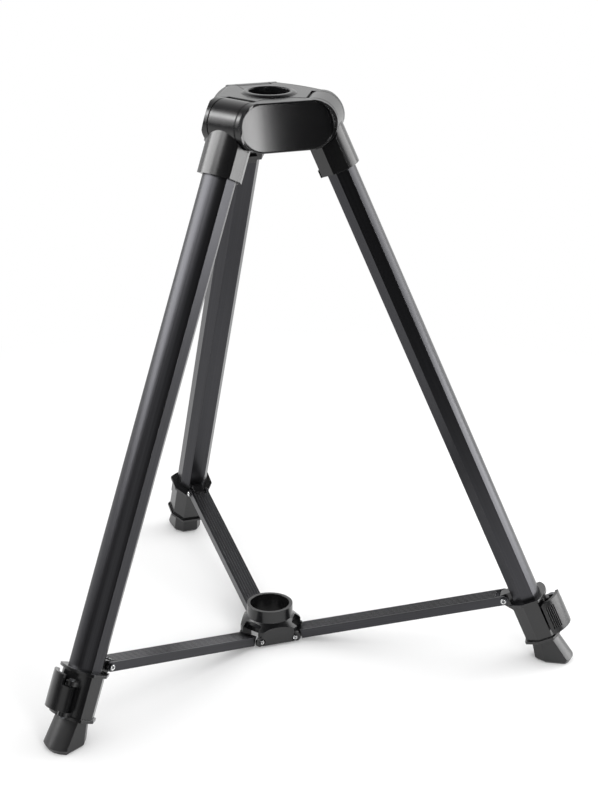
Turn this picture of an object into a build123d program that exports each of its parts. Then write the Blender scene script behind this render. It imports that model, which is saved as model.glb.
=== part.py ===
from build123d import *
import math
import os

os.makedirs("parts", exist_ok=True)

# Folding tripod base of a music stand, in millimetres.
# The floor is Z = 0 and the pole stands on the Z axis.

# Stance
leg_angles = (210, 330, 90)
gap_turn = 60
leg_tilt = 24.26
leg_top_radius = 41.0
leg_top_height = 494.5
hinge_radius = 42.0
hinge_height = 492.3

# Pole sockets
pole_radius = 17.5
pole_gap = 0.25
bore_radius = pole_radius + pole_gap

# Crown
crown_top = 512.6
block_height = 41.4
block_width = 84.6
block_reach = 45.4
face_tilt = 13.5
block_middle = crown_top - block_height / 2 * math.cos(math.radians(face_tilt))
block_bottom = 2 * block_middle - crown_top
rim_side = 1.4
rim_top = 1.2
rim_edge = 0.8
rim_taper = 40.0
recess_depth = 1.6
slot_half = 15.5
lip_radius = 34.2
lip_thickness = 6.5
swing_gap = 0.5
cheek_half = 22.0
cheek_proud = 3.2
bush_radius = 19.3
bush_top = 514.5
flange_radius = 21.2
flange_foot_radius = 24.0
bush_fit = 0.05

# Side covers of the crown
cover_gap = 0.2
cover_thickness = 4.4
cover_bulge = 3.2

# Hinge bolts
bolt_radius = 4.0
bolt_head_radius = 6.8
bolt_head_height = 3.0
bolt_seat = 18.4
bolt_pocket_radius = 8.2
nut_radius = 7.4
running_gap = 0.05

# Leg shoulder
barrel_radius = 20.2
barrel_half = 15.2
barrel_edge = 0.8
sleeve_start = 10.0
sleeve_end = 49.5
sleeve_wall = 4.4
sleeve_gap = 1.0
tab_length = 7.0
tab_reach = 2.5
tab_half = 4.5

# Leg tube section: outwards from the leg's line, then across it
tube_crest = 13.3
tube_edge = 9.5
tube_bevel = -1.5
tube_back = -10.5
tube_half = 13.8
tube_back_half = 7.6
tube_wall = 1.6
tube_start = 23.0
tube_end = 488.0

# Lower leg, its guide plug and its foot
lower_start = 150.0
lower_end = 530.0
lower_inset = 2.1
lower_wall = 1.4
plug_head = 12.0
plug_depth = 18.0
plug_inset = 1.8
plug_fit = 0.05
throat_inset = 1.95
foot_start = 518.6
foot_shrink = -0.4
foot_end = 556.0
foot_flare = 0.6
foot_reach = 6.6
foot_edge = 2.2
foot_toe = 5.0

# Lock collar
collar_start = 476.0
collar_end = 518.0
collar_wall = 3.2
flange_thickness = 2.5
flange_walls = (6.0, 5.0)
flange_notch_half = 11.0
flange_notch_reach = -14.0
lug_half = 5.4
lug_radius = 4.5
lug_foot = 492.0
lug_tube_gap = 0.4

# Lock lever, drawn round a line beside the leg
lever_centre = (7.5, 0.0)
lever_outer = 22.0
lever_wall = 3.0
lever_hinge_side = -32.0
lever_tab_side = -2.0
lever_corner = 2.5
lever_free_side = 73.0
lever_start = 490.0
lever_end = 511.5
tab_start = 481.0
tab_end = 512.5
lever_pin = (21.0, -5.0)
lever_pin_radius = 1.6
lever_barrel = 3.9
lever_root = (24.0, -6.1)
lever_root_radius = 3.4
ear_radius = 4.6
ear_gap = 0.5
ear_thickness = 4.0
knob_radius = 2.5
knob_height = 1.4
grip_count = 5
grip_first = 44.0
grip_step = 5.0
grip_width = 1.2
grip_depth = 0.7
grip_start = 486.0
grip_end = 508.0

# Spreader: pins on the collars, arms and hub
arm_pin_radial = 217.3
arm_pin_height = 57.2
hub_pin_radial = 26.5
hub_pin_height = 6.0
arm_run = arm_pin_radial - hub_pin_radial
arm_drop = arm_pin_height - hub_pin_height
arm_length = math.hypot(arm_run, arm_drop)
arm_slope = math.degrees(math.atan2(arm_drop, arm_run))
arm_half = 9.0
arm_height = 8.5
arm_side = 2.2
arm_web = 2.5
arm_fork = 7.0
arm_stop = 5.0
arm_pin_radius = 2.0
arm_pin_head = 3.0
arm_pin_head_height = 1.2
arm_rib_count = 6
arm_rib_pitch = 2.6
arm_rib_width = 1.3
arm_rib_depth = 0.5
knuckle_depth = 14.0
knuckle_half = 6.5
knuckle_height = 6.6
knuckle_fit = 0.1
knuckle_blunt = 0.3

# Hub: it slides on the pole, so its bore has more room than the crown's
hub_bore_radius = 18.25
ring_radius = 21.3
ring_top = 33.0
ring_edge = 0.7
cone_top = 21.5
skirt_radius = 29.0
skirt_top = 15.5
hub_bottom = 2.0
flat_distance = 24.8
mouth_half = 9.3
mouth_top = 16.5
mouth_edge = 22.4
mouth_back = 20.6
mouth_corner = 4.0
mouth_low = 10.4
hub_lug_radius = 4.8
hub_lug_half = 12.6
hub_pin_radius = 1.6
hub_pin_head = 2.4
hub_pin_head_height = 1.2
pin_head_gap = 0.5
far = 80.0


def radial(angle):
    return Vector(math.cos(math.radians(angle)), math.sin(math.radians(angle)), 0)


def hinge_plane(angle):
    """Upright plane through a leg's hinge: x outwards, y up, normal along the hinge."""
    place = radial(angle) * hinge_radius + Vector(0, 0, hinge_height)
    return Plane(origin=place, x_dir=radial(angle), z_dir=radial(angle - 90))


def leg_plane(angle, along=0.0):
    """Plane square to a leg: x outwards, normal down the leg."""
    tilt = math.radians(leg_tilt)
    place = radial(angle) * leg_top_radius + Vector(0, 0, leg_top_height)
    outwards = radial(angle) * math.cos(tilt) + Vector(0, 0, math.sin(tilt))
    down = radial(angle) * math.sin(tilt) - Vector(0, 0, math.cos(tilt))
    return Plane(origin=place, x_dir=outwards, z_dir=down).offset(along)


def leg_side_plane(angle):
    """Plane along a leg's middle: x outwards, y down the leg."""
    across = leg_plane(angle)
    return Plane(origin=across.origin, x_dir=across.x_dir, z_dir=across.x_dir.cross(across.z_dir))


def gap_plane(angle):
    """Leaning face of the crown over the gap that follows a leg: x across, y up."""
    facing = angle + gap_turn
    lean = math.radians(face_tilt)
    place = radial(facing) * block_reach + Vector(0, 0, block_middle)
    normal = radial(facing) * math.cos(lean) + Vector(0, 0, math.sin(lean))
    return Plane(origin=place, x_dir=radial(facing + 90), z_dir=normal)


def arm_plane(angle):
    """Upright plane along a spreader arm from its outer pin: x towards the hub, y up."""
    place = radial(angle) * arm_pin_radial + Vector(0, 0, arm_pin_height)
    slope = math.radians(arm_slope)
    inwards = radial(angle) * -math.cos(slope) - Vector(0, 0, math.sin(slope))
    return Plane(origin=place, x_dir=inwards, z_dir=radial(angle + 90))


def hub_plane(angle):
    """Upright plane along an arm through the axis: x outwards, y up from the floor."""
    return Plane(origin=(0, 0, 0), x_dir=radial(angle), z_dir=radial(angle - 90))


def leg_section(plane, grow=0.0, reach=0.0):
    """Outline of the leg tube: bowed outside, bevelled inside, drawn out by reach at both."""
    with BuildSketch(plane) as section:
        with BuildLine():
            Polyline(
                (tube_edge + reach, tube_half),
                (tube_bevel - reach, tube_half),
                (tube_back - reach, tube_back_half),
                (tube_back - reach, -tube_back_half),
                (tube_bevel - reach, -tube_half),
                (tube_edge + reach, -tube_half),
            )
            ThreePointArc(
                (tube_edge + reach, -tube_half),
                (tube_crest + reach, 0),
                (tube_edge + reach, tube_half),
            )
        make_face()
        if grow:
            offset(amount=grow, kind=Kind.INTERSECTION)
    return section.sketch


def finish(piece, name):
    """Labels a finished piece and writes it."""
    piece.label = name
    export_step(piece, f"parts/{name}.step")


# Crown: three rounded blocks round the pole socket, with slots for the leg hinges
with BuildPart() as crown_body:
    for angle in leg_angles:
        with BuildSketch(gap_plane(angle).offset(-rim_edge)) as block_face:
            SlotOverall(block_width, block_height)
        extrude(amount=rim_edge, taper=rim_taper)
        extrude(block_face.sketch, amount=block_reach, dir=-radial(angle + gap_turn))
    for angle in leg_angles:
        with BuildSketch(Plane.XY.offset(crown_top)):
            with Locations(Location((0, 0), angle)):
                Rectangle(lip_radius, 2 * slot_half, align=(Align.MIN, Align.CENTER))
        extrude(amount=-lip_thickness)
        with BuildSketch(hinge_plane(angle)):
            Circle(barrel_radius)
        extrude(amount=cheek_half, both=True)
    for angle in leg_angles:
        split(bisect_by=gap_plane(angle).offset(cheek_proud), keep=Keep.BOTTOM)
    for angle in leg_angles:
        with BuildSketch(hinge_plane(angle)):
            Circle(barrel_radius + swing_gap)
            with Locations((-barrel_radius - swing_gap, 0)):
                Rectangle(far, far, align=(Align.MIN, Align.MAX))
            with Locations((lip_radius - hinge_radius, 0)):
                Rectangle(far, 2 * far, align=(Align.MIN, Align.CENTER))
        extrude(amount=slot_half, both=True, mode=Mode.SUBTRACT)
        with BuildSketch(hinge_plane(angle)):
            Circle(bolt_radius + bush_fit)
        extrude(amount=far / 2, both=True, mode=Mode.SUBTRACT)
        for side in (1, -1):
            with BuildSketch(hinge_plane(angle).offset(side * bolt_seat)):
                Circle(bolt_pocket_radius)
            extrude(amount=side * far / 2, mode=Mode.SUBTRACT)
        with BuildSketch(gap_plane(angle).offset(-recess_depth)):
            SlotOverall(block_width - 2 * rim_side, block_height - 2 * rim_top)
        extrude(amount=far, mode=Mode.SUBTRACT)
    with BuildSketch(Plane.XY.offset(crown_top)):
        Circle(bush_radius + bush_fit)
    extrude(amount=-far, mode=Mode.SUBTRACT)
finish(crown_body.part, "crown_body")

# Socket bush: the sleeve in the crown that takes the pole, with a sloped flange on top
with BuildPart() as socket_bush:
    with BuildSketch(Plane.XZ):
        with BuildLine():
            Polyline(
                (bore_radius, block_bottom),
                (bush_radius, block_bottom),
                (bush_radius, crown_top),
                (flange_foot_radius, crown_top),
                (flange_radius, bush_top),
                (bore_radius, bush_top),
                close=True,
            )
        make_face()
    revolve(axis=Axis.Z)
    chamfer(socket_bush.edges().group_by(Axis.Z)[-1], ring_edge)
finish(socket_bush.part, "socket_bush")

for number, angle in enumerate(leg_angles, start=1):
    # Side cover: a bowed stadium plate over the gap after this leg
    with BuildPart() as side_cover:
        cover_width = block_width - 2 * rim_side - 2 * cover_gap
        face = gap_plane(angle)
        with BuildSketch(face.offset(-recess_depth)):
            SlotOverall(cover_width, block_height - 2 * rim_top - 2 * cover_gap)
        extrude(amount=cover_thickness)
        with BuildSketch(Plane(origin=face.origin, x_dir=face.x_dir, z_dir=face.y_dir)):
            with BuildLine():
                edge_height = recess_depth - cover_thickness + cover_bulge
                Polyline(
                    (cover_width / 2, edge_height),
                    (cover_width / 2, recess_depth),
                    (-cover_width / 2, recess_depth),
                    (-cover_width / 2, edge_height),
                )
                ThreePointArc(
                    (-cover_width / 2, edge_height),
                    (0, recess_depth - cover_thickness),
                    (cover_width / 2, edge_height),
                )
            make_face()
        extrude(amount=block_height / 2, both=True, mode=Mode.INTERSECT)
    finish(side_cover.part, f"side_cover_{number}")

    # Hinge bolt and its nut, hidden under the covers
    with BuildPart() as hinge_bolt:
        with BuildSketch(hinge_plane(angle).offset(-bolt_seat - bolt_head_height)):
            Circle(bolt_radius)
        extrude(amount=2 * bolt_seat + bolt_head_height)
        with BuildSketch(hinge_plane(angle).offset(bolt_seat)):
            Circle(bolt_head_radius)
        extrude(amount=bolt_head_height)
    finish(hinge_bolt.part, f"hinge_bolt_{number}")

    with BuildPart() as hinge_nut:
        with BuildSketch(hinge_plane(angle).offset(-bolt_seat)):
            RegularPolygon(nut_radius, 6)
            Circle(bolt_radius + bush_fit, mode=Mode.SUBTRACT)
        extrude(amount=-bolt_head_height)
    finish(hinge_nut.part, f"hinge_nut_{number}")

    # Leg shoulder: hinge barrel and the sleeve over the tube's top
    with BuildPart() as shoulder:
        with BuildSketch(hinge_plane(angle)):
            Circle(barrel_radius)
        extrude(amount=barrel_half, both=True)
        chamfer(shoulder.edges().filter_by(GeomType.CIRCLE), barrel_edge)
        sleeve = leg_section(leg_plane(angle, sleeve_start), sleeve_wall)
        extrude(sleeve, amount=sleeve_end - sleeve_start)
        for side in (1, -1):
            with BuildSketch(hinge_plane(angle).offset(side * barrel_half)):
                Circle(barrel_radius + sleeve_gap)
            extrude(amount=side * barrel_half, mode=Mode.SUBTRACT)
        with BuildSketch(leg_side_plane(angle)):
            with Locations((tube_back, sleeve_end + 1)):
                Rectangle(tab_reach + sleeve_wall, tab_length, align=(Align.MAX, Align.MAX))
        extrude(amount=tab_half, both=True)
        extrude(leg_section(leg_plane(angle, tube_start), bush_fit), amount=far, mode=Mode.SUBTRACT)
        with BuildSketch(hinge_plane(angle)):
            Circle(bolt_radius + running_gap)
        extrude(amount=barrel_half, both=True, mode=Mode.SUBTRACT)
    finish(shoulder.part, f"shoulder_{number}")

    # Leg tube: a hollow extrusion
    with BuildPart() as leg_tube:
        extrude(leg_section(leg_plane(angle, tube_start)), amount=tube_end - tube_start)
        bore = leg_section(leg_plane(angle, tube_start), -tube_wall)
        extrude(bore, amount=tube_end - tube_start, mode=Mode.SUBTRACT)
    finish(leg_tube.part, f"leg_tube_{number}")

    # Lock collar: clamp body with two flanges, ears for the lever and a lug for the spreader
    with BuildPart() as lock_collar:
        body = leg_section(leg_plane(angle, collar_start), collar_wall)
        extrude(body, amount=collar_end - collar_start)
        for start, wall in zip((collar_start, collar_end - flange_thickness), flange_walls):
            extrude(leg_section(leg_plane(angle, start), wall), amount=flange_thickness)
        for start in (lever_start - ear_gap - ear_thickness, lever_end + ear_gap):
            with BuildSketch(leg_plane(angle, start)):
                with Locations(lever_pin):
                    Circle(ear_radius)
                with Locations((tube_edge, lever_pin[1])):
                    Circle(ear_radius)
                make_hull()
            extrude(amount=ear_thickness)
        with BuildSketch(leg_plane(angle, collar_start)):
            with Locations((flange_notch_reach, 0)):
                Rectangle(far, 2 * flange_notch_half, align=(Align.MAX, Align.CENTER))
        extrude(amount=flange_thickness, mode=Mode.SUBTRACT)
        pin_spot = leg_side_plane(angle).to_local_coords(arm_plane(angle).origin)
        with BuildSketch(leg_side_plane(angle)):
            with Locations((pin_spot.X, pin_spot.Y)):
                Circle(lug_radius)
            with Locations((tube_back - lug_tube_gap, pin_spot.Y - lug_radius)):
                Rectangle(1, lug_foot - pin_spot.Y, align=(Align.MAX, Align.MIN))
            make_hull()
        extrude(amount=lug_half, both=True)
        extrude(leg_section(leg_plane(angle, 0), bush_fit), amount=tube_end, mode=Mode.SUBTRACT)
        extrude(leg_section(leg_plane(angle, tube_end), -throat_inset), amount=far, mode=Mode.SUBTRACT)
        with BuildSketch(leg_plane(angle, collar_start)):
            with Locations(lever_pin):
                Circle(lever_pin_radius + bush_fit)
        extrude(amount=collar_end - collar_start, mode=Mode.SUBTRACT)
        with BuildSketch(leg_side_plane(angle)):
            with Locations((pin_spot.X, pin_spot.Y)):
                Circle(arm_pin_radius + bush_fit)
        extrude(amount=far, both=True, mode=Mode.SUBTRACT)
    finish(lock_collar.part, f"lock_collar_{number}")

    # Lever pin with a small knob at each end
    with BuildPart() as lever_pin_piece:
        pin_top = lever_start - ear_gap - ear_thickness - knob_height
        pin_bottom = lever_end + ear_gap + ear_thickness + knob_height
        with BuildSketch(leg_plane(angle, pin_top)):
            with Locations(lever_pin):
                Circle(lever_pin_radius)
        extrude(amount=pin_bottom - pin_top)
        for start in (pin_top, pin_bottom - knob_height):
            with BuildSketch(leg_plane(angle, start)):
                with Locations(lever_pin):
                    Circle(knob_radius)
            extrude(amount=knob_height)
    finish(lever_pin_piece.part, f"lever_pin_{number}")

    # Lock lever: a curved plate round the outside of the leg, with a ribbed thumb edge
    with BuildPart() as lock_lever:
        with BuildSketch(leg_plane(angle, tab_start)):
            with BuildLine():
                sweep_angle = lever_free_side - lever_hinge_side
                outer = CenterArc(lever_centre, lever_outer, lever_hinge_side, sweep_angle)
                inner = CenterArc(lever_centre, lever_outer - lever_wall, lever_hinge_side, sweep_angle)
                Line(outer @ 0, inner @ 0)
                Line(outer @ 1, inner @ 1)
            make_face()
        extrude(amount=tab_end - tab_start)
        free_edge = leg_plane(angle).from_local_coords((0, far, lever_start))
        free_face = lock_lever.faces().filter_by(GeomType.PLANE).sort_by_distance(free_edge)[0]
        fillet(free_face.edges().filter_by(lambda edge: edge.length < 2 * lever_wall), lever_corner)
        for start, end in ((tab_start, lever_start), (lever_end, tab_end)):
            with BuildSketch(leg_plane(angle, start)):
                with Locations((0, lever_tab_side)):
                    Rectangle(far, far, align=(Align.CENTER, Align.MAX))
            extrude(amount=end - start, mode=Mode.SUBTRACT)
        with BuildSketch(leg_plane(angle, lever_start)):
            with Locations(lever_pin):
                Circle(lever_barrel)
            with Locations(lever_root):
                Circle(lever_root_radius)
            make_hull()
        extrude(amount=lever_end - lever_start)
        with BuildSketch(leg_plane(angle, grip_start)):
            for rib in range(grip_count):
                turn = math.radians(grip_first + grip_step * rib)
                place = (
                    lever_centre[0] + lever_outer * math.cos(turn),
                    lever_centre[1] + lever_outer * math.sin(turn),
                )
                with Locations(Location(place, math.degrees(turn))):
                    Rectangle(2 * grip_depth, grip_width)
        extrude(amount=grip_end - grip_start, mode=Mode.SUBTRACT)
        with BuildSketch(leg_plane(angle, lever_start)):
            with Locations(lever_pin):
                Circle(lever_pin_radius + running_gap)
        extrude(amount=lever_end - lever_start, mode=Mode.SUBTRACT)
    finish(lock_lever.part, f"lock_lever_{number}")

    # Lower leg: the inner tube that slides out of the leg
    with BuildPart() as lower_tube:
        outline = leg_section(leg_plane(angle, lower_start), -lower_inset)
        extrude(outline, amount=lower_end - lower_start)
        bore = leg_section(leg_plane(angle, lower_start), -lower_inset - lower_wall)
        extrude(bore, amount=lower_end - lower_start, mode=Mode.SUBTRACT)
    finish(lower_tube.part, f"lower_tube_{number}")

    # Guide plug in the lower leg's top, too wide for the collar's throat
    with BuildPart() as guide_plug:
        head = leg_section(leg_plane(angle, lower_start - plug_head), -plug_inset)
        extrude(head, amount=plug_head)
        stem = leg_section(leg_plane(angle, lower_start), -lower_inset - lower_wall - plug_fit)
        extrude(stem, amount=plug_depth)
    finish(guide_plug.part, f"guide_plug_{number}")

    # Foot: a flared rubber boot, cut level with the floor
    with BuildPart() as foot:
        loft([
            leg_section(leg_plane(angle, foot_start), foot_shrink).face(),
            leg_section(leg_plane(angle, foot_end), foot_flare, foot_reach).face(),
        ])
        split(bisect_by=Plane.XY, keep=Keep.TOP)
        sole_edges = foot.faces().sort_by(Axis.Z)[0].edges().sort_by_distance((0, 0, 0))
        chamfer(sole_edges[-1], foot_toe)
        sole_edges = foot.faces().sort_by(Axis.Z)[0].edges().sort_by_distance((0, 0, 0))
        chamfer(sole_edges[:-1], foot_edge)
        socket = leg_section(leg_plane(angle, foot_start), -lower_inset + plug_fit)
        extrude(socket, amount=lower_end - foot_start, mode=Mode.SUBTRACT)
    finish(foot.part, f"foot_{number}")

    # Arm pin in the collar's lug
    with BuildPart() as arm_pin:
        with BuildSketch(arm_plane(angle)):
            Circle(arm_pin_radius)
        extrude(amount=arm_half + ear_gap, both=True)
        for side in (1, -1):
            with BuildSketch(arm_plane(angle).offset(side * (arm_half + ear_gap / 2))):
                Circle(arm_pin_head)
            extrude(amount=side * arm_pin_head_height)
    finish(arm_pin.part, f"arm_pin_{number}")

    # Spreader arm: a ribbed channel with a fork over the collar's lug
    with BuildPart() as spreader_arm:
        channel_end = arm_length - arm_stop
        with BuildSketch(arm_plane(angle)):
            Circle(arm_height / 2)
            Rectangle(channel_end, arm_height, align=(Align.MIN, Align.CENTER))
        extrude(amount=arm_half, both=True)
        with BuildSketch(arm_plane(angle)):
            with Locations((-arm_height, arm_height / 2 - arm_web)):
                Rectangle(2 * arm_length, arm_height, align=(Align.MIN, Align.MAX))
            with Locations((-arm_height, 0)):
                Rectangle(arm_height + arm_fork, 2 * arm_height, align=(Align.MIN, Align.CENTER))
        extrude(amount=arm_half - arm_side, both=True, mode=Mode.SUBTRACT)
        for rib in range(arm_rib_count):
            across = (rib - (arm_rib_count - 1) / 2) * arm_rib_pitch
            with BuildSketch(arm_plane(angle).offset(across)):
                with Locations((arm_fork, arm_height / 2)):
                    Rectangle(channel_end, 2 * arm_rib_depth, align=(Align.MIN, Align.CENTER))
            extrude(amount=arm_rib_width / 2, both=True, mode=Mode.SUBTRACT)
        with BuildSketch(arm_plane(angle)):
            Circle(arm_pin_radius + running_gap)
        extrude(amount=arm_half, both=True, mode=Mode.SUBTRACT)
    finish(spreader_arm.part, f"spreader_arm_{number}")

    # Arm knuckle: the rounded tongue that stands between the hub's lugs
    with BuildPart() as arm_knuckle:
        with BuildSketch(arm_plane(angle)):
            with Locations((channel_end - knuckle_depth, arm_height / 2 - arm_web - knuckle_fit)):
                Rectangle(knuckle_depth, arm_height - arm_web - knuckle_fit, align=(Align.MIN, Align.MAX))
            with Locations((channel_end, 0)):
                Rectangle(arm_stop, knuckle_height, align=(Align.MIN, Align.CENTER))
            with Locations((arm_length, 0)):
                Circle(knuckle_height / 2)
        extrude(amount=knuckle_half, both=True)
        top = arm_plane(angle)
        tip = arm_length + knuckle_height / 2 - knuckle_blunt
        with BuildSketch(Plane(origin=top.origin, x_dir=top.x_dir, z_dir=top.y_dir)):
            with Locations((tip - knuckle_half, 0)):
                Circle(knuckle_half)
                Rectangle(arm_length, 2 * knuckle_half, align=(Align.MAX, Align.CENTER))
        extrude(amount=arm_height, both=True, mode=Mode.INTERSECT)
    finish(arm_knuckle.part, f"arm_knuckle_{number}")

    # Hub pins: a headed stub in each of the two lugs beside this arm
    with BuildPart() as hub_pins:
        for side in (1, -1):
            for inside, reach, radius in (
                (mouth_half, hub_lug_half - mouth_half, hub_pin_radius),
                (hub_lug_half, hub_pin_head_height, hub_pin_head),
            ):
                with BuildSketch(hub_plane(angle).offset(side * inside)):
                    with Locations((hub_pin_radial, hub_pin_height)):
                        Circle(radius)
                extrude(amount=side * reach)
    finish(hub_pins.part, f"hub_pins_{number}")

# Spreader hub: pole ring on a conical skirt with three flats and three arched mouths
with BuildPart() as spreader_hub:
    with BuildSketch(Plane.XZ):
        with BuildLine():
            Polyline(
                (0, ring_top),
                (ring_radius, ring_top),
                (ring_radius, cone_top),
                (skirt_radius, skirt_top),
                (skirt_radius, hub_bottom),
                (0, hub_bottom),
                close=True,
            )
        make_face()
    revolve(axis=Axis.Z)
    for angle in leg_angles:
        with BuildSketch(hub_plane(angle)):
            with Locations((hub_pin_radial, hub_pin_height)):
                Circle(hub_lug_radius)
        extrude(amount=hub_lug_half, both=True)
    for angle in leg_angles:
        with BuildSketch(Plane.XY):
            with Locations(Location((0, 0), angle + gap_turn)):
                with Locations((flat_distance, 0)):
                    Rectangle(far, far, align=(Align.MIN, Align.CENTER))
        extrude(amount=far, mode=Mode.SUBTRACT)
    split(bisect_by=Plane.XY.offset(hub_bottom), keep=Keep.TOP)
    for angle in leg_angles:
        mouth_plane = Plane(origin=radial(angle) * mouth_back, x_dir=radial(angle + 90), z_dir=radial(angle))
        with BuildSketch(mouth_plane) as mouth:
            Rectangle(2 * mouth_half, mouth_top, align=(Align.CENTER, Align.MIN))
            fillet(mouth.vertices().group_by(Axis.Y)[-1], mouth_corner)
        extrude(amount=far, mode=Mode.SUBTRACT)
        with BuildSketch(hub_plane(angle)):
            Rectangle(far, mouth_low, align=(Align.MIN, Align.MIN))
        extrude(amount=mouth_half, both=True, mode=Mode.SUBTRACT)
        with BuildSketch(hub_plane(angle)):
            with Locations((mouth_edge, 0)):
                Rectangle(far, far, align=(Align.MIN, Align.MIN))
        extrude(amount=mouth_half, both=True, mode=Mode.SUBTRACT)
        with BuildSketch(hub_plane(angle)):
            with Locations((hub_pin_radial, hub_pin_height)):
                Circle(hub_pin_radius + bush_fit)
        extrude(amount=far, both=True, mode=Mode.SUBTRACT)
        for side in (1, -1):
            with BuildSketch(hub_plane(angle).offset(side * hub_lug_half)):
                with Locations((hub_pin_radial, hub_pin_height)):
                    Circle(hub_pin_head + pin_head_gap)
            extrude(amount=side * hub_lug_half, mode=Mode.SUBTRACT)
    with BuildSketch(Plane.XY):
        Circle(hub_bore_radius)
    extrude(amount=far, mode=Mode.SUBTRACT)
finish(spreader_hub.part, "spreader_hub")
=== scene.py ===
"""Looks of a folding tripod base: finishes, rivet rims, studio and camera round its frame."""

import logging
import math
from dataclasses import dataclass, replace
from enum import Enum

import bmesh
import bpy
from mathutils import Matrix, Vector


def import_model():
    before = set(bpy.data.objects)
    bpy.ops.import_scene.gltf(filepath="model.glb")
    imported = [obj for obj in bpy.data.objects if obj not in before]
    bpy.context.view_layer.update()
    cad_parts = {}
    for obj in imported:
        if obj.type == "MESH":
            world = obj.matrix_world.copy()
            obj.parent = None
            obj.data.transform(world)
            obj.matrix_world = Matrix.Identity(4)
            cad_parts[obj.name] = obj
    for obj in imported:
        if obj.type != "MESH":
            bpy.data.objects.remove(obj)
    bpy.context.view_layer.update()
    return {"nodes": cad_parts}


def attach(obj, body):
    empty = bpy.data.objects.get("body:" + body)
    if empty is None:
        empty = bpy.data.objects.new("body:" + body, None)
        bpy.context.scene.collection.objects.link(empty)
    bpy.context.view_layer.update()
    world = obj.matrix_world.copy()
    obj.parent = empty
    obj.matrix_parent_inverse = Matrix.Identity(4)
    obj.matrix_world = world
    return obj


LOG = logging.getLogger("tripod_base")
MM = 0.001
WHITE = "#ffffff"
# Angle of each leg about the pole, in degrees from X
LEG_ANGLES = {1: 210.0, 2: 330.0, 3: 90.0}
# How far the rounded normal leans from the plain one, as a cosine, where wear starts and is full
WEAR_STARTS, WEAR_FULL = 0.99, 0.78
# Open share of the sky (ambient occlusion) at which painted groove shade takes all the shine out,
# and above which, as on a plain surface, it takes none
GROOVE_SHADE_FULL, GROOVE_SHADE_NONE = 0.6, 0.92
# Cosine to the extrusion's line at which a face starts to be a sawn end, and is one
SAWN_STARTS, SAWN_FULL = 0.9, 0.96


class Slot(Enum):
    """Material slots of the record for modelled pieces; no piece here is given one."""

    STEEL = "steel"


class Side(Enum):
    """The two sides of a leg, seen from the pole, as quarter turns."""

    LEFT = 1
    RIGHT = -1


def linear(code: str) -> tuple[float, float, float, float]:
    """Turns an sRGB hex colour into linear values.

    Args:
        code: The colour as six hex digits after a hash sign.

    Returns:
        Red, green, blue and an alpha of one.
    """
    values = []
    for start in (1, 3, 5):
        share = int(code[start:start + 2], 16) / 255
        values.append(share / 12.92 if share <= 0.04045 else ((share + 0.055) / 1.055) ** 2.4)
    return values[0], values[1], values[2], 1.0


def add_node(
    tree: bpy.types.NodeTree,
    kind: str,
    settings: dict[str | int, object] | None = None,
    links: dict[str | int, bpy.types.NodeSocket] | None = None,
) -> bpy.types.Node:
    """Adds a node with its settings and links.

    Args:
        tree: The tree that takes the node.
        kind: The node's type name.
        settings: Attributes of the node, or values of its named or numbered inputs.
        links: The output socket that feeds each named or numbered input.

    Returns:
        The new node.
    """
    node = tree.nodes.new(kind)
    for name, value in (settings or {}).items():
        if isinstance(name, str) and hasattr(node, name):
            setattr(node, name, value)
        else:
            node.inputs[name].default_value = value
    for name, source in (links or {}).items():
        tree.links.new(source, node.inputs[name])
    return node


def direction(azimuth: float, elevation: float) -> Vector:
    """Gives the unit vector at an azimuth from X and an elevation from the floor, in degrees."""
    turn, rise = math.radians(azimuth), math.radians(elevation)
    flat = math.cos(rise)
    return Vector((math.cos(turn) * flat, math.sin(turn) * flat, math.sin(rise)))


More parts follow.
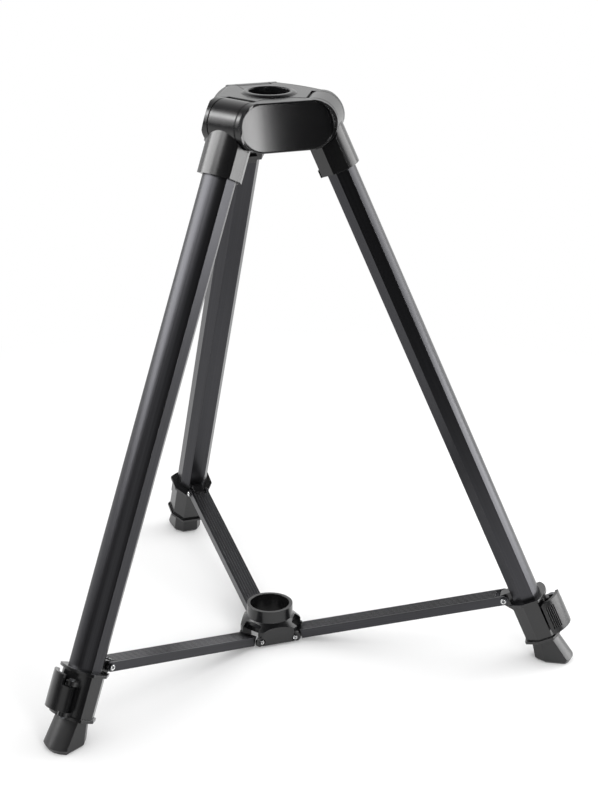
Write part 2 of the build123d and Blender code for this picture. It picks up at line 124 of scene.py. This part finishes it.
@dataclass(frozen=True)
class Finish:
    """A surface as the eye meets it.

    Fields:
        name: Name of the material.
        colour: Body colour.
        worn: Colour along rubbed edges.
        roughness: Middle roughness.
        spread: How far the roughness wanders either way.
        metallic: Share of metal.
        ior: Refractive index, for what isn't metal.
        edge_mm: Radius over which edges look rounded.
        wear: How much of the worn colour an edge takes.
    """

    name: str
    colour: str
    worn: str
    roughness: float
    spread: float = 0.05
    metallic: float = 0.0
    ior: float = 1.5
    edge_mm: float = 0.5
    wear: float = 0.4

    def start(self) -> tuple[bpy.types.Material, bpy.types.NodeTree]:
        """Makes the empty material.

        Returns:
            The material and its tree.
        """
        material = bpy.data.materials.new(self.name)
        material.use_nodes = True
        material.node_tree.nodes.clear()
        material.diffuse_color = linear(self.colour)
        return material, material.node_tree

    def edge(self, tree: bpy.types.NodeTree) -> tuple[bpy.types.NodeSocket, bpy.types.NodeSocket]:
        """Finds the rubbed edges.

        Args:
            tree: Tree of the material.

        Returns:
            The rounded normal, and a mask that is strongest on sharp edges.
        """
        rounded = add_node(tree, "ShaderNodeBevel", {"samples": 4, "Radius": self.edge_mm * MM})
        plain = add_node(tree, "ShaderNodeNewGeometry")
        facing = add_node(
            tree, "ShaderNodeVectorMath", {"operation": "DOT_PRODUCT"},
            {0: rounded.outputs["Normal"], 1: plain.outputs["Normal"]},
        )
        mask = add_node(
            tree, "ShaderNodeMapRange",
            {"From Min": WEAR_STARTS, "From Max": WEAR_FULL, "To Min": 0.0, "To Max": self.wear},
            {"Value": facing.outputs["Value"]},
        )
        return rounded.outputs["Normal"], mask.outputs["Result"]

    def tone(
        self,
        tree: bpy.types.NodeTree,
        cloud: bpy.types.NodeSocket,
        mask: bpy.types.NodeSocket,
        lighter: str,
    ) -> bpy.types.NodeSocket:
        """Mixes the body colour with its lighter clouding and its worn edges.

        Args:
            tree: Tree of the material.
            cloud: Pattern from nought to one.
            mask: Edge mask.
            lighter: Colour at the pattern's full end.

        Returns:
            The mixed colour.
        """
        body = add_node(
            tree, "ShaderNodeMix",
            {"data_type": "RGBA", 6: linear(self.colour), 7: linear(lighter)}, {"Factor": cloud},
        )
        rubbed = add_node(
            tree, "ShaderNodeMix",
            {"data_type": "RGBA", 7: linear(self.worn)}, {"Factor": mask, 6: body.outputs[2]},
        )
        return rubbed.outputs[2]

    def wander(
        self, tree: bpy.types.NodeTree, pattern: bpy.types.NodeSocket
    ) -> bpy.types.NodeSocket:
        """Turns a pattern into roughness about the finish's own.

        Args:
            tree: Tree of the material.
            pattern: Pattern from nought to one.

        Returns:
            The roughness.
        """
        low, high = self.roughness - self.spread, self.roughness + self.spread
        spread = add_node(
            tree, "ShaderNodeMapRange", {"To Min": low, "To Max": high}, {"Value": pattern},
        )
        return spread.outputs["Result"]

    def close(
        self,
        tree: bpy.types.NodeTree,
        colour: bpy.types.NodeSocket,
        roughness: bpy.types.NodeSocket,
        normal: bpy.types.NodeSocket,
        shine: bpy.types.NodeSocket | None = None,
    ) -> None:
        """Joins the patterns to the shader and the shader to the output.

        Args:
            tree: Tree of the material.
            colour: Source of the base colour.
            roughness: Source of the roughness.
            normal: Source of the normal.
            shine: Source of the share of shine left under the painted groove shade, where there is
                any.
        """
        settings = {"Metallic": self.metallic}
        if not self.metallic:
            settings["IOR"] = self.ior
        links = {"Base Color": colour, "Roughness": roughness, "Normal": normal}
        # Painted groove shade dims the shine through the specular tint.
        if shine:
            links["Specular Tint"] = shine
        shader = add_node(tree, "ShaderNodeBsdfPrincipled", settings, links)
        add_node(tree, "ShaderNodeOutputMaterial", None, {"Surface": shader.outputs["BSDF"]})


@dataclass(frozen=True)
class Moulding(Finish):
    """A moulded or cold-headed surface: fine grain, faint clouding, a paler rubbed edge and, where
    set, painted shade in narrow grooves.

    Fields:
        lighter: Colour of the pale clouds.
        cloud_mm: Size of the clouds.
        grain_mm: Spacing of the grain.
        grain_depth_mm: Height of the grain.
        grain_strength: How strongly the grain tilts the light.
        groove_shade_mm: Reach of the ambient occlusion that paints shade into narrow grooves by
            taking out their shine, or nought for none.
    """

    lighter: str = "#242425"
    cloud_mm: float = 26.0
    grain_mm: float = 0.9
    grain_depth_mm: float = 0.03
    grain_strength: float = 0.25
    groove_shade_mm: float = 0.0

    def paint_groove_shade(self, tree: bpy.types.NodeTree) -> bpy.types.NodeSocket:
        """Paints shade into the narrow grooves, where ambient occlusion takes the shine out.

        Args:
            tree: Tree of the material.

        Returns:
            The share of shine left under the painted groove shade.
        """
        groove_occlusion = add_node(
            tree, "ShaderNodeAmbientOcclusion",
            {"samples": 8, "only_local": True, "Distance": self.groove_shade_mm * MM},
        )
        share = add_node(
            tree, "ShaderNodeMapRange", {"From Min": GROOVE_SHADE_FULL, "From Max": GROOVE_SHADE_NONE},
            {"Value": groove_occlusion.outputs["AO"]},
        )
        return share.outputs["Result"]

    def build(self) -> bpy.types.Material:
        """Makes the material.

        Returns:
            The material.
        """
        material, tree = self.start()
        place = add_node(tree, "ShaderNodeTexCoord").outputs["Object"]
        normal, mask = self.edge(tree)
        cloud = add_node(
            tree, "ShaderNodeTexNoise", {"Scale": 1 / (self.cloud_mm * MM), "Detail": 3.0},
            {"Vector": place},
        ).outputs["Fac"]
        grain = add_node(
            tree, "ShaderNodeTexNoise",
            {"Scale": 1 / (self.grain_mm * MM), "Detail": 2.0, "Roughness": 0.6},
            {"Vector": place},
        )
        bump = add_node(
            tree, "ShaderNodeBump",
            {"Strength": self.grain_strength, "Distance": self.grain_depth_mm * MM},
            {"Height": grain.outputs["Fac"], "Normal": normal},
        )
        colour = self.tone(tree, cloud, mask, self.lighter)
        # Painted shade: ambient occlusion dims the shine in narrow grooves.
        shine = self.paint_groove_shade(tree) if self.groove_shade_mm else None
        self.close(tree, colour, self.wander(tree, cloud), bump.outputs["Normal"], shine)
        return material


@dataclass(frozen=True)
class DrawnTube(Finish):
    """Black anodised aluminium, extruded: die lines run its whole length under an even dyed skin.

    Fields:
        lighter: Colour of the paler die lines.
        line: Direction of the extrusion.
        line_mm: Spacing of the die lines; the real ones are finer than the render can show.
        line_length_mm: Length over which a die line holds.
        line_depth_mm: Depth of a die line.
        line_strength: How strongly the die lines tilt the light.
        sawn: Colour of the bare metal where the length was sawn off after dyeing.
    """

    lighter: str = "#48484b"
    line: tuple[float, float, float] = (0.0, 0.0, 1.0)
    line_mm: float = 1.1
    line_length_mm: float = 260.0
    line_depth_mm: float = 0.012
    line_strength: float = 0.2
    sawn: str = "#d2d3d5"

    def sawn_end(self, tree: bpy.types.NodeTree) -> bpy.types.NodeSocket:
        """Finds the sawn ends.

        Args:
            tree: Tree of the material.

        Returns:
            A mask that is one on a face across the extrusion.
        """
        facing = add_node(
            tree, "ShaderNodeVectorMath", {"operation": "DOT_PRODUCT", 1: self.line},
            {0: add_node(tree, "ShaderNodeTexCoord").outputs["Normal"]},
        )
        across = add_node(
            tree, "ShaderNodeMath", {"operation": "ABSOLUTE"}, {0: facing.outputs["Value"]},
        )
        cut = add_node(
            tree, "ShaderNodeMapRange", {"From Min": SAWN_STARTS, "From Max": SAWN_FULL},
            {"Value": across.outputs["Value"]},
        )
        return cut.outputs["Result"]

    def build(self) -> bpy.types.Material:
        """Makes the material.

        Returns:
            The material.
        """
        material, tree = self.start()
        turn = Vector(self.line).rotation_difference(Vector((0, 0, 1))).to_euler()
        across, along = 1 / (self.line_mm * MM), 1 / (self.line_length_mm * MM)
        place = add_node(tree, "ShaderNodeTexCoord").outputs["Object"]
        turned = add_node(tree, "ShaderNodeMapping", {"Rotation": turn}, {"Vector": place})
        drawn = add_node(
            tree, "ShaderNodeMapping", {"Scale": (across, across, along)},
            {"Vector": turned.outputs["Vector"]},
        )
        normal, mask = self.edge(tree)
        lines = add_node(
            tree, "ShaderNodeTexNoise", {"Scale": 1.0, "Detail": 2.0},
            {"Vector": drawn.outputs["Vector"]},
        ).outputs["Fac"]
        bump = add_node(
            tree, "ShaderNodeBump",
            {"Strength": self.line_strength, "Distance": self.line_depth_mm * MM},
            {"Height": lines, "Normal": normal},
        )
        dyed = self.tone(tree, lines, mask, self.lighter)
        colour = add_node(
            tree, "ShaderNodeMix", {"data_type": "RGBA", 7: linear(self.sawn)},
            {"Factor": self.sawn_end(tree), 6: dyed},
        )
        self.close(tree, colour.outputs[2], self.wander(tree, lines), bump.outputs["Normal"])
        return material


# PC/ABS blend, moulded in a spark-eroded tool: an even black with a satin grain
BODY_BLEND = Moulding(
    "moulded_pc_abs_black", "#09090a", "#2a2a2c", roughness=0.23, spread=0.04, ior=1.57,
    lighter="#0f0f10",
)
# The same blend on the levers, with painted shade in the narrow thumb grooves: ambient occlusion
# takes their shine out
LEVER_BLEND_GROOVE_SHADE = replace(BODY_BLEND, name="moulded_pc_abs_groove_shade", groove_shade_mm=1.6)
# ABS, moulded in a polished tool: a deep black with soft clear reflections
COVER_ABS = Moulding(
    "moulded_abs_satin", "#09090a", "#39393a", roughness=0.22, spread=0.02, ior=1.54,
    lighter="#0e0e0f", grain_mm=2.2, grain_depth_mm=0.015, grain_strength=0.06,
)
# Zinc-plated steel, cold-headed: a bright skin with a faint haze
RIVET_STEEL = Moulding(
    "zinc_plated_steel", "#dadad8", "#f4f4f2", roughness=0.20, spread=0.06, metallic=1.0,
    edge_mm=0.2, lighter="#c6c7c9", cloud_mm=2.0, grain_mm=0.4, grain_depth_mm=0.006,
    grain_strength=0.15,
)
# Phosphated steel, cold-headed: a grey satin that lets the rolled rim shine
PIN_STEEL = replace(
    RIVET_STEEL, name="phosphated_steel", colour="#5c5d5f", worn="#8a8b8d", roughness=0.34,
    lighter="#6c6d70",
)
# Black rubber, compression moulded: a soft low sheen, slightly dusty
FOOT_RUBBER = Moulding(
    "moulded_rubber_black", "#0f0f10", "#262627", roughness=0.33, ior=1.52, edge_mm=0.9,
    lighter="#161617", cloud_mm=14.0, grain_mm=0.7, grain_depth_mm=0.04,
)
# Black anodised aluminium, extruded: a dark grey metal with a long soft sheen
ANODISED_TUBE = DrawnTube(
    "anodised_tube", "#38383a", "#77777a", roughness=0.30, metallic=1.0, edge_mm=0.4,
)


@dataclass(frozen=True)
class Palette:
    """The materials that the sub-assemblies share.

    Fields:
        body: Finish of the moulded pieces.
        lever: Finish of the lock levers, with painted shade in their thumb grooves.
        cover: Finish of the side covers.
        steel: Finish of the rivet rims, bolts and nuts.
        pin: Finish of the pins.
        rubber: Finish of the feet.
    """

    body: bpy.types.Material
    lever: bpy.types.Material
    cover: bpy.types.Material
    steel: bpy.types.Material
    pin: bpy.types.Material
    rubber: bpy.types.Material


@dataclass
class Dresser:
    """Gives the frame's nodes their finishes.

    Fields:
        nodes: CAD nodes by name.
        palette: Shared materials.
    """

    nodes: dict[str, bpy.types.Object]
    palette: Palette

    def dress(self, name: str, material: bpy.types.Material) -> None:
        """Puts one material on a node.

        Args:
            name: The node.
            material: Its finish.
        """
        mesh = self.nodes[name].data
        mesh.materials.clear()
        mesh.materials.append(material)
        LOG.info("%s: %s", name, material.name)


@dataclass(frozen=True)
class RivetRim:
    """The rolled rim of a hollow rivet, turned round the pin's line.

    Fields:
        name: Name of the piece.
        place: Middle of the head's outer face, in millimetres.
        out: Direction out of the head.
        outer: Outer radius in millimetres.
        bore: Radius of the hole in millimetres.
        height: Height of the roll in millimetres.
        sunk: How far the roll's foot goes into the head, in millimetres.
        steps: Steps round the rim.
        roll_steps: Steps over the roll.
    """

    name: str
    place: Vector
    out: Vector
    outer: float
    bore: float
    height: float = 0.6
    sunk: float = 0.05
    steps: int = 40
    roll_steps: int = 18

    def profile(self) -> list[tuple[float, float]]:
        """Draws the closed section of the roll.

        Returns:
            Points as radius and height.
        """
        middle, half = (self.outer + self.bore) / 2, (self.outer - self.bore) / 2
        roll = [math.pi * step / self.roll_steps for step in range(self.roll_steps + 1)]
        arc = [(middle + half * math.cos(turn), self.height * math.sin(turn)) for turn in roll]
        return [(self.outer, -self.sunk), *arc, (self.bore, -self.sunk)]

    def turned(self) -> bpy.types.Mesh:
        """Turns the section round the pin's line.

        Returns:
            The rim's mesh, in its place.
        """
        mesh = bpy.data.meshes.new(self.name)
        shape = bmesh.new()
        section = self.profile()
        rings = []
        for step in range(self.steps):
            turn = 2 * math.pi * step / self.steps
            across, up = math.cos(turn), math.sin(turn)
            rings.append([
                shape.verts.new(Vector((radius * across, radius * up, height)) * MM)
                for radius, height in section
            ])
        corners = range(len(section))
        for ring, after in zip(rings, rings[1:] + rings[:1]):
            for here, there in zip(corners, [*corners[1:], 0]):
                shape.faces.new((ring[here], after[here], after[there], ring[there]))
        bmesh.ops.recalc_face_normals(shape, faces=shape.faces)
        for face in shape.faces:
            face.smooth = True
        facing = self.out.to_track_quat("Z", "Y").to_matrix().to_4x4()
        shape.transform(Matrix.Translation(self.place * MM) @ facing)
        shape.to_mesh(mesh)
        shape.free()
        return mesh

    def build(self, body: str, material: bpy.types.Material) -> None:
        """Makes the rim and lets it ride.

        Args:
            body: The body that it moves with.
            material: Its finish.
        """
        mesh = self.turned()
        mesh.materials.append(material)
        rim = bpy.data.objects.new(self.name, mesh)
        bpy.context.scene.collection.objects.link(rim)
        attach(rim, body)
        LOG.info("%s: rides on %s", self.name, body)


@dataclass(frozen=True)
class PinHeads:
    """The two heads of a cross pin, each with a rolled rim.

    Fields:
        radius: Distance of the pin from the pole's axis, in millimetres.
        height: Height of the pin over the floor, in millimetres.
        reach: Half the pin's length, out to the heads' faces, in millimetres.
        outer: Outer radius of a rim, in millimetres.
        bore: Radius of a rim's hole, in millimetres.
    """

    radius: float
    height: float
    reach: float
    outer: float
    bore: float

    def roll(self, name: str, angle: float, body: str, material: bpy.types.Material) -> None:
        """Rolls a rim on each head.

        Args:
            name: What the rims' names start with.
            angle: Angle of the leg that the pin belongs to.
            body: The body that the rims move with.
            material: Their finish.
        """
        middle = direction(angle, 0.0) * self.radius + Vector((0, 0, self.height))
        for side in Side:
            out = direction(angle + side.value * 90, 0.0)
            place = middle + out * self.reach
            rim = RivetRim(f"{name}_{side.name.lower()}", place, out, self.outer, self.bore)
            rim.build(body, material)


@dataclass
class Crown:
    """The block at the top that carries the pole socket and the leg hinges.

    Fields:
        dresser: Finishes nodes.
    """

    dresser: Dresser

    def build(self) -> None:
        """Dresses the block, its bush, covers, bolts and nuts."""
        palette = self.dresser.palette
        self.dresser.dress("crown_body", palette.body)
        self.dresser.dress("socket_bush", palette.body)
        for number in LEG_ANGLES:
            self.dresser.dress(f"side_cover_{number}", palette.cover)
            self.dresser.dress(f"hinge_bolt_{number}", palette.steel)
            self.dresser.dress(f"hinge_nut_{number}", palette.steel)


@dataclass
class Leg:
    """One leg: shoulder, tube, lock, lower tube and foot.

    Fields:
        dresser: Finishes nodes.
        number: The leg's number.
        tilt: Lean of the tube from upright, in degrees.
        pin_heads: Heads of the pin that carries the spreader arm.
    """

    dresser: Dresser
    number: int
    tilt: float = 24.26
    pin_heads: PinHeads = PinHeads(radius=217.3, height=57.2, reach=10.45, outer=2.5, bore=1.1)

    def build(self) -> None:
        """Dresses the leg's nodes and rolls the rims of its spreader pin."""
        palette, angle = self.dresser.palette, LEG_ANGLES[self.number]
        line = tuple(direction(angle, self.tilt - 90))
        tube = replace(ANODISED_TUBE, name=f"anodised_tube_{self.number}", line=line).build()
        finishes = {
            "shoulder": palette.body,
            "leg_tube": tube,
            "lock_collar": palette.body,
            "lock_lever": palette.lever,
            "lever_pin": palette.pin,
            "lower_tube": tube,
            "guide_plug": palette.body,
            "foot": palette.rubber,
            "arm_pin": palette.pin,
        }
        for name, material in finishes.items():
            self.dresser.dress(f"{name}_{self.number}", material)
        rims, body = f"arm_rivet_{self.number}", f"leg_{self.number}"
        self.pin_heads.roll(rims, angle, body, palette.steel)


@dataclass
class Brace:
    """The spreader: three arms and the sliding hub.

    Fields:
        dresser: Finishes nodes.
        slope: Rise of an arm outwards from the hub, in degrees.
        pin_heads: Heads of the pins that carry an arm in the hub.
    """

    dresser: Dresser
    slope: float = 15.02
    pin_heads: PinHeads = PinHeads(radius=26.5, height=6.0, reach=13.8, outer=2.1, bore=0.9)

    def build(self) -> None:
        """Dresses the arms, knuckles, hub and pins, and rolls the rims of the pins."""
        palette = self.dresser.palette
        self.dresser.dress("spreader_hub", palette.body)
        for number, angle in LEG_ANGLES.items():
            line = tuple(direction(angle, self.slope))
            arm = replace(ANODISED_TUBE, name=f"anodised_arm_{number}", line=line).build()
            self.dresser.dress(f"spreader_arm_{number}", arm)
            self.dresser.dress(f"arm_knuckle_{number}", palette.body)
            self.dresser.dress(f"hub_pins_{number}", palette.pin)
            self.pin_heads.roll(f"hub_rivet_{number}", angle, "hub", palette.steel)


@dataclass(frozen=True)
class Softbox:
    """A large soft lamp.

    Fields:
        name: Its name.
        azimuth: Where it stands, in degrees from X.
        distance: Metres from the pole's axis, along the floor.
        middle: Height of its middle in metres.
        width: Width in metres.
        height: Height in metres.
        radiance: Brightness of its face, where one is white.
        flagged: Whether a flag keeps its light off the floor.
    """

    name: str
    azimuth: float
    distance: float
    middle: float
    width: float
    height: float
    radiance: float
    flagged: bool = False

    def build(self, target: Vector, flag: bpy.types.Collection) -> None:
        """Sets the lamp up.

        Args:
            target: The point it faces.
            flag: Holds what a flagged lamp leaves dark.
        """
        lamp = bpy.data.lights.new(self.name, "AREA")
        lamp.shape = "RECTANGLE"
        lamp.size = self.width
        lamp.size_y = self.height
        lamp.energy = self.radiance * math.pi * self.width * self.height
        holder = bpy.data.objects.new(self.name, lamp)
        holder.visible_camera = False
        bpy.context.scene.collection.objects.link(holder)
        place = direction(self.azimuth, 0.0) * self.distance + Vector((0, 0, self.middle))
        facing = (place - target).to_track_quat("Z", "Y")
        holder.matrix_world = Matrix.Translation(place) @ facing.to_matrix().to_4x4()
        if self.flagged:
            holder.light_linking.receiver_collection = flag


@dataclass
class Studio:
    """Floor, world, lamps and camera.

    Fields:
        target_height: Height of the point that the lamps face, in metres.
        softboxes: The lamps.
        floor_size: Side of the floor in metres.
        room_light: Strength of the room's even light.
        backdrop_dip: Elevation of the backdrop's brightest part, in degrees.
        backdrop_edge: Cosines to that part at which the backdrop starts and is full.
        room_dark: Strength of the dark room in reflections.
        paper_white: Share of light that bright white paper sends back.
        paper_shade_span: Metres before the axis where painted shade starts to darken the paper for
            all but camera rays, and is full.
        paper_shade_least: What is left of the paper's white under that painted shade.
        join_ring: Metres from the axis where the paper starts to join the backdrop, and has done.
        join_least: How much of the backdrop's white the paper has inside that ring.
        camera_azimuth: Azimuth of the photograph, in degrees from X.
        camera_elevation: Its elevation in degrees.
        camera_distance: Metres from the aim point.
        aim_height: Height of the aim point in metres.
        aim_shift: Metres that the aim point stands to the camera's right of the axis.
        roll: Turn of the camera about its own line, in degrees.
        lens: Focal length for a sensor 36 mm high.
    """

    target_height: float = 0.3
    softboxes: tuple[Softbox, ...] = (
        Softbox("left_softbox", 150.0, 1.4, 0.95, 0.95, 1.0, 6.2, flagged=True),
        Softbox("left_high_softbox", 175.0, 1.4, 1.6, 0.9, 0.9, 5.2, flagged=True),
        Softbox("left_fill", 205.0, 1.5, 0.45, 0.7, 0.8, 0.6),
        Softbox("low_card", 345.0, 1.2, 0.2, 1.1, 0.35, 5.2),
        Softbox("right_softbox", 6.0, 1.2, 0.7, 0.7, 0.75, 2.7),
        Softbox("front_strip", 273.0, 2.0, 0.75, 0.36, 0.7, 16.0),
    )
    floor_size: float = 16.0
    room_light: float = 1.08
    backdrop_dip: float = -25.0
    backdrop_edge: tuple[float, float] = (-0.1, 0.5)
    room_dark: float = 0.02
    paper_white: float = 0.9
    paper_shade_span: tuple[float, float] = (0.28, 0.65)
    paper_shade_least: float = 0.05
    join_ring: tuple[float, float] = (0.3, 0.9)
    join_least: float = 0.1
    camera_azimuth: float = 249.401
    camera_elevation: float = 20.367
    camera_distance: float = 1.75438
    aim_height: float = 0.23458
    aim_shift: float = 0.026946
    roll: float = 0.256
    lens: float = 87.96

    def add_camera(self) -> None:
        """Places the camera at the photograph's angle."""
        back = direction(self.camera_azimuth, self.camera_elevation)
        right = Vector((0, 0, 1)).cross(back).normalized()
        up = back.cross(right)
        turn = math.radians(self.roll)
        aim = Vector((0, 0, self.aim_height)) + right * self.aim_shift
        tilted = right * math.cos(turn) + up * math.sin(turn)
        upright = up * math.cos(turn) - right * math.sin(turn)
        data = bpy.data.cameras.new("camera")
        data.sensor_fit = "VERTICAL"
        data.sensor_height = 36.0
        data.lens = self.lens
        data.clip_end = 100.0
        camera = bpy.data.objects.new("camera", data)
        bpy.context.scene.collection.objects.link(camera)
        axes = Matrix((tilted, upright, back)).transposed().to_4x4()
        camera.matrix_world = Matrix.Translation(aim + back * self.camera_distance) @ axes
        bpy.context.scene.camera = camera

    def seen(self, tree: bpy.types.NodeTree) -> tuple[bpy.types.NodeSocket, bpy.types.NodeSocket]:
        """Finds the rays that look at the background.

        Args:
            tree: Tree of the world or of the floor.

        Returns:
            One on camera rays, and one on camera, glossy and transmission rays.
        """
        path = add_node(tree, "ShaderNodeLightPath")
        mirrored = add_node(
            tree, "ShaderNodeMath", {"operation": "ADD", "use_clamp": True},
            {0: path.outputs["Is Camera Ray"], 1: path.outputs["Is Glossy Ray"]},
        )
        shown = add_node(
            tree, "ShaderNodeMath", {"operation": "ADD", "use_clamp": True},
            {0: mirrored.outputs["Value"], 1: path.outputs["Is Transmission Ray"]},
        )
        return path.outputs["Is Camera Ray"], shown.outputs["Value"]

    def add_world(self) -> None:
        """Hangs a white backdrop behind the object, with the dark room before and above it."""
        world = bpy.data.worlds.new("studio")
        world.use_nodes = True
        tree = world.node_tree
        tree.nodes.clear()
        place = add_node(tree, "ShaderNodeTexCoord").outputs["Generated"]
        middle = direction(self.camera_azimuth + 180, self.backdrop_dip)
        behind = add_node(
            tree, "ShaderNodeVectorMath", {"operation": "DOT_PRODUCT", 1: middle}, {0: place},
        )
        starts, full = self.backdrop_edge
        share = add_node(
            tree, "ShaderNodeMapRange",
            {"From Min": starts, "From Max": full, "To Min": self.room_dark, "To Max": 1.0},
            {"Value": behind.outputs["Value"]},
        )
        camera, shown = self.seen(tree)
        white = add_node(
            tree, "ShaderNodeMath", {"operation": "MAXIMUM"},
            {0: share.outputs["Result"], 1: camera},
        )
        backdrop = add_node(
            tree, "ShaderNodeBackground", {"Color": linear(WHITE)},
            {"Strength": white.outputs["Value"]},
        )
        room = add_node(
            tree, "ShaderNodeBackground", {"Color": linear(WHITE), "Strength": self.room_light},
        )
        mixed = add_node(
            tree, "ShaderNodeMixShader", None,
            {0: shown, 1: room.outputs["Background"], 2: backdrop.outputs["Background"]},
        )
        add_node(tree, "ShaderNodeOutputWorld", None, {"Surface": mixed.outputs["Shader"]})
        bpy.context.scene.world = world

    def floor_paper(self) -> bpy.types.Material:
        """Makes the white paper, a matt sheet that keeps the shadows and joins the backdrop.

        Before the object it takes painted shade, which darkens it for all but camera rays.

        Returns:
            The material.
        """
        material = bpy.data.materials.new("white_paper")
        material.use_nodes = True
        tree = material.node_tree
        tree.nodes.clear()
        place = add_node(tree, "ShaderNodeNewGeometry").outputs["Position"]
        front = add_node(
            tree, "ShaderNodeVectorMath",
            {"operation": "DOT_PRODUCT", 1: direction(self.camera_azimuth, 0.0)}, {0: place},
        )
        # Painted shade: before the object the paper darkens, for all but camera rays.
        starts, ends = self.paper_shade_span
        painted_shade = add_node(
            tree, "ShaderNodeMapRange",
            {"From Min": starts, "From Max": ends, "To Min": 1.0, "To Max": self.paper_shade_least},
            {"Value": front.outputs["Value"]},
        )
        camera, shown = self.seen(tree)
        white = add_node(
            tree, "ShaderNodeMath", {"operation": "MAXIMUM"},
            {0: painted_shade.outputs["Result"], 1: camera},
        )
        toned = add_node(
            tree, "ShaderNodeMath", {"operation": "MULTIPLY", 1: self.paper_white},
            {0: white.outputs["Value"]},
        )
        paper = add_node(tree, "ShaderNodeBsdfDiffuse", None, {"Color": toned.outputs["Value"]})
        glow = add_node(
            tree, "ShaderNodeEmission", {"Color": linear(WHITE)},
            {"Strength": white.outputs["Value"]},
        )
        away = add_node(tree, "ShaderNodeVectorMath", {"operation": "LENGTH"}, {0: place})
        inside, outside = self.join_ring
        join = add_node(
            tree, "ShaderNodeMapRange",
            {"From Min": inside, "From Max": outside, "To Min": self.join_least, "To Max": 1.0},
            {"Value": away.outputs["Value"]},
        )
        share = add_node(
            tree, "ShaderNodeMath", {"operation": "MULTIPLY"},
            {0: join.outputs["Result"], 1: shown},
        )
        mixed = add_node(
            tree, "ShaderNodeMixShader", None,
            {0: share.outputs["Value"], 1: paper.outputs["BSDF"], 2: glow.outputs["Emission"]},
        )
        add_node(tree, "ShaderNodeOutputMaterial", None, {"Surface": mixed.outputs["Shader"]})
        return material

    def add_floor(self) -> bpy.types.Collection:
        """Lays the floor.

        Returns:
            The flag that keeps lamps off it.
        """
        mesh = bpy.data.meshes.new("floor")
        half = self.floor_size / 2
        corners = [(-half, -half, 0), (half, -half, 0), (half, half, 0), (-half, half, 0)]
        mesh.from_pydata(corners, [], [(0, 1, 2, 3)])
        mesh.materials.append(self.floor_paper())
        floor = bpy.data.objects.new("floor", mesh)
        bpy.context.scene.collection.objects.link(floor)
        flag = bpy.data.collections.new("flag")
        flag.objects.link(floor)
        flag.collection_objects[0].light_linking.link_state = "EXCLUDE"
        return flag

    def build(self) -> None:
        """Sets the studio up."""
        bpy.context.scene.view_settings.view_transform = "Standard"
        self.add_camera()
        self.add_world()
        flag = self.add_floor()
        for softbox in self.softboxes:
            softbox.build(Vector((0, 0, self.target_height)), flag)


def main() -> None:
    """Builds the sub-assemblies and the studio."""
    logging.basicConfig(level=logging.INFO, format="%(message)s")
    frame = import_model()
    palette = Palette(
        body=BODY_BLEND.build(),
        lever=LEVER_BLEND_GROOVE_SHADE.build(),
        cover=COVER_ABS.build(),
        steel=RIVET_STEEL.build(),
        pin=PIN_STEEL.build(),
        rubber=FOOT_RUBBER.build(),
    )
    dresser = Dresser(frame["nodes"], palette)
    Crown(dresser).build()
    for number in LEG_ANGLES:
        Leg(dresser, number).build()
    Brace(dresser).build()
    Studio().build()


if __name__ == "__main__":
    main()
